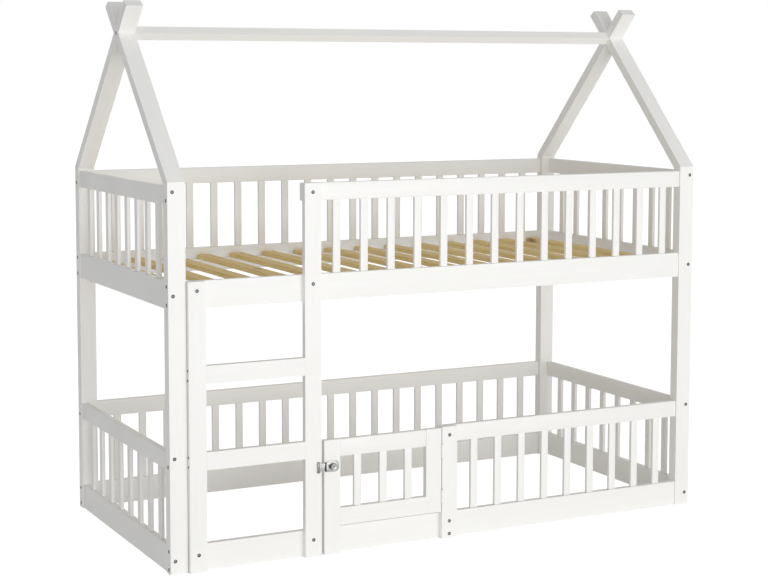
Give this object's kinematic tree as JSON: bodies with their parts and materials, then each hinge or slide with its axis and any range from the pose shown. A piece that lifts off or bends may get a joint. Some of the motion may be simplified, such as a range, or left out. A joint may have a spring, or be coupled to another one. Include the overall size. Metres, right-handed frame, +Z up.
{
  "type": "house-shaped bunk bed",
  "caption": "House-shaped bunk bed with slatted guard rails, a short ladder, a hinged gate with a slide bolt, a slatted upper deck and crossed rafters under a ridge beam.",
  "frame": {"origin": "on the floor, under the middle of the bed's outer box, which takes in the knob of the gate's slide bolt", "axes": "+X along the bed, from the ladder's end to the other; +Y from the ladder side to the wall side; +Z up"},
  "size_m": [2.08, 1.0356, 1.8788],
  "materials": {
    "white_paint": "smooth white paint, satin",
    "pine": "bare sawn pine",
    "hinge_enamel": "white enamel",
    "zinc": "bright zinc plating"
  },
  "bodies": {
    "frame": {"post_front_left": "white_paint", "post_front_right": "white_paint", "post_back_left": "white_paint", "post_back_right": "white_paint", "rafter_front_left": "white_paint", "rafter_front_right": "white_paint", "rafter_back_left": "white_paint", "rafter_back_right": "white_paint", "ridge_beam": "white_paint", "floor_rail_front": "white_paint", "floor_rail_back": "white_paint", "floor_rail_left": "white_paint", "floor_rail_right": "white_paint", "deck_rail_front": "white_paint", "deck_rail_back": "white_paint", "deck_rail_left": "white_paint", "deck_rail_right": "white_paint", "guard_rail_front": "white_paint", "guard_rail_back": "white_paint", "guard_rail_left": "white_paint", "guard_rail_right": "white_paint", "fence_rail_front": "white_paint", "fence_rail_back": "white_paint", "fence_rail_left": "white_paint", "fence_rail_right": "white_paint", "ledger_front": "white_paint", "ledger_back": "white_paint", "deck_slat_01": "pine", "deck_slat_02": "pine", "deck_slat_03": "pine", "deck_slat_04": "pine", "deck_slat_05": "pine", "deck_slat_06": "pine", "deck_slat_07": "pine", "deck_slat_08": "pine", "deck_slat_09": "pine", "deck_slat_10": "pine", "deck_slat_11": "pine", "deck_slat_12": "pine", "deck_slat_13": "pine", "deck_slat_14": "pine", "deck_slat_15": "pine", "ladder_stile_left": "white_paint", "ladder_stile_right": "white_paint", "rung_lower": "white_paint", "rung_upper": "white_paint", "gate_post": "white_paint", "hinge_leaf_post_lower": "hinge_enamel", "hinge_leaf_post_upper": "hinge_enamel", "hinge_pin_lower": "zinc", "hinge_pin_upper": "zinc", "latch_keeper": "zinc"},
    "gate": {"gate_stile_latch": "white_paint", "gate_stile_hinge": "white_paint", "gate_rail_top": "white_paint", "gate_rail_bottom": "white_paint", "hinge_leaf_gate_lower": "hinge_enamel", "hinge_leaf_gate_upper": "hinge_enamel", "latch_housing": "zinc"},
    "latch": {"latch_bolt": "zinc"}
  },
  "joints": [
    {"name": "gate_hinge", "type": "hinge", "parent": "frame", "child": "gate", "pos_m": [-0.0414, -0.5033, 0.235], "axis": [0, 0, 1], "range_deg": [0, 160]},
    {"name": "latch_slide", "type": "slide", "parent": "gate", "child": "latch", "axis": [-1, 0, 0], "range_m": [0, 0.012]}
  ]
}
